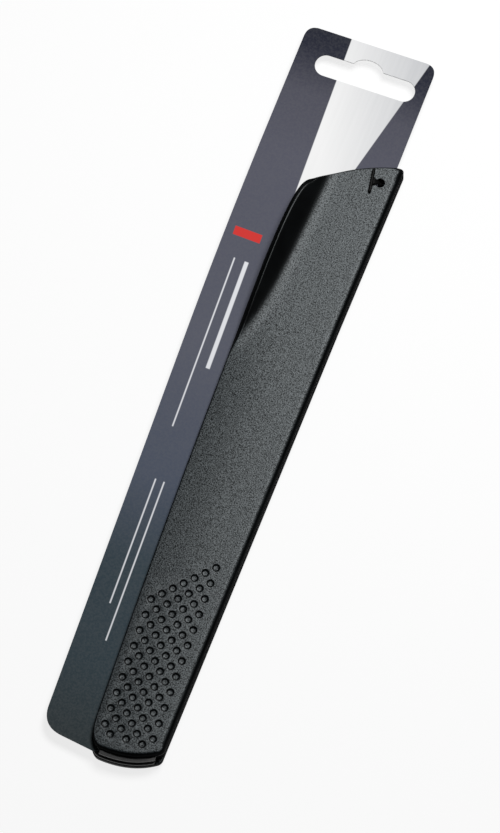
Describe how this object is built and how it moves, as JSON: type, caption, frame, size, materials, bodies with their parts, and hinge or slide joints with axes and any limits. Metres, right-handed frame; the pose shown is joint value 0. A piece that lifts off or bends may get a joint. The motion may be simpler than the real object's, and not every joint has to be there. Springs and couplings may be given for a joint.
{
  "type": "knife blade guard",
  "caption": "Slim black moulded sleeve that covers a kitchen knife's edge, open along one side, with a lifted lead-in lip, grip dimples and inner magnets, holding a hang card on a tag.",
  "frame": {"origin": "on the back face that the guard lies on, under the middle of the guard", "axes": "+X towards the closed edge, +Y along the guard towards its heel end and the card's hang slot, +Z out of the front face"},
  "size_m": [0.0469, 0.2536, 0.0119],
  "materials": {
    "shell_plastic": "fine spark-eroded grain on moulded black plastic",
    "liner_plastic": "smooth satin black plastic",
    "magnet_plating": "nickel-plated bar magnet",
    "printed_card": "slate printed card, satin varnish",
    "tag_nylon": "black moulded nylon"
  },
  "bodies": {
    "guard": {"back_shell": "shell_plastic", "front_shell": "shell_plastic", "back_liner": "liner_plastic", "front_liner": "liner_plastic", "back_magnet_1": "magnet_plating", "back_magnet_2": "magnet_plating", "back_magnet_3": "magnet_plating", "back_magnet_4": "magnet_plating", "front_magnet_1": "magnet_plating", "front_magnet_2": "magnet_plating", "front_magnet_3": "magnet_plating", "front_magnet_4": "magnet_plating"},
    "card": {"hang_card": "printed_card"},
    "tag": {"tag_fastener": "tag_nylon"}
  },
  "joints": [
    {"name": "card_slide", "type": "slide", "parent": "guard", "child": "card", "axis": [-1, 0, 0], "range_m": [0, 0.045]},
    {"name": "tag_swing", "type": "hinge", "parent": "guard", "child": "tag", "pos_m": [0.0098, 0.101, 0.008], "axis": [0, 0, 1], "range_deg": [-35, 35]}
  ]
}
